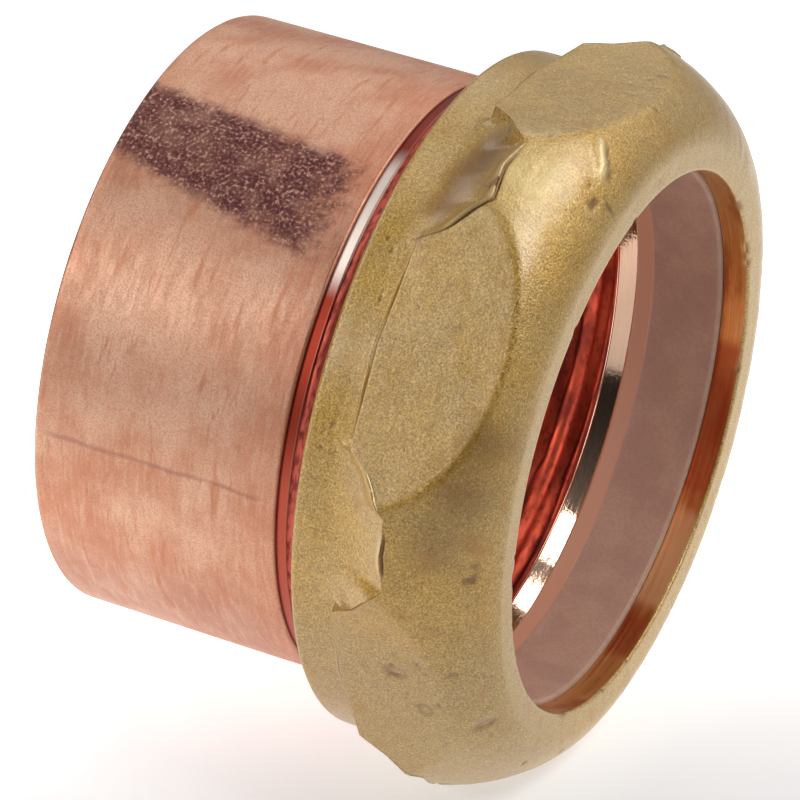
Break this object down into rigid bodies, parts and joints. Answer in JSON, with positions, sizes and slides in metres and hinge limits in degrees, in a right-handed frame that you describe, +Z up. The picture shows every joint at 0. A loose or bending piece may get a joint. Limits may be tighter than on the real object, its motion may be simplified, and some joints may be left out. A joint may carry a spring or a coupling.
{
  "type": "slip joint trap adapter",
  "caption": "Copper drain adapter: a plain solder cup at one end, and a cast brass slip nut with a soft washer on a rolled thread at the other.",
  "frame": {"origin": "on the fitting's axis, halfway between the solder cup's rim and the nut's front face", "axes": "+X along the fitting's axis, from the solder cup to the slip nut; +Z up, square to the nut's top and bottom flats"},
  "size_m": [0.036, 0.0546, 0.05],
  "materials": {
    "copper": "drawn copper, brushed, with a brown heat stain",
    "polyethylene": "soft translucent polyethylene",
    "brass": "rough sand casting with a turned bore"
  },
  "bodies": {
    "copper_body": {"copper_body": "copper"},
    "slip_washer": {"slip_washer": "polyethylene"},
    "slip_nut": {"slip_nut": "brass"}
  },
  "joints": [
    {"name": "washer_travel", "type": "slide", "parent": "copper_body", "child": "slip_washer", "axis": [1, 0, 0], "range_m": [0, 0.005]},
    {"name": "nut_turn", "type": "hinge", "parent": "slip_washer", "child": "slip_nut", "pos_m": [0.01075, 0, 0], "axis": [1, 0, 0], "range_deg": [0, 810]}
  ],
  "couplings": [
    {"joint": "washer_travel", "follows": "nut_turn", "m_per_rad": 0.00035153}
  ]
}
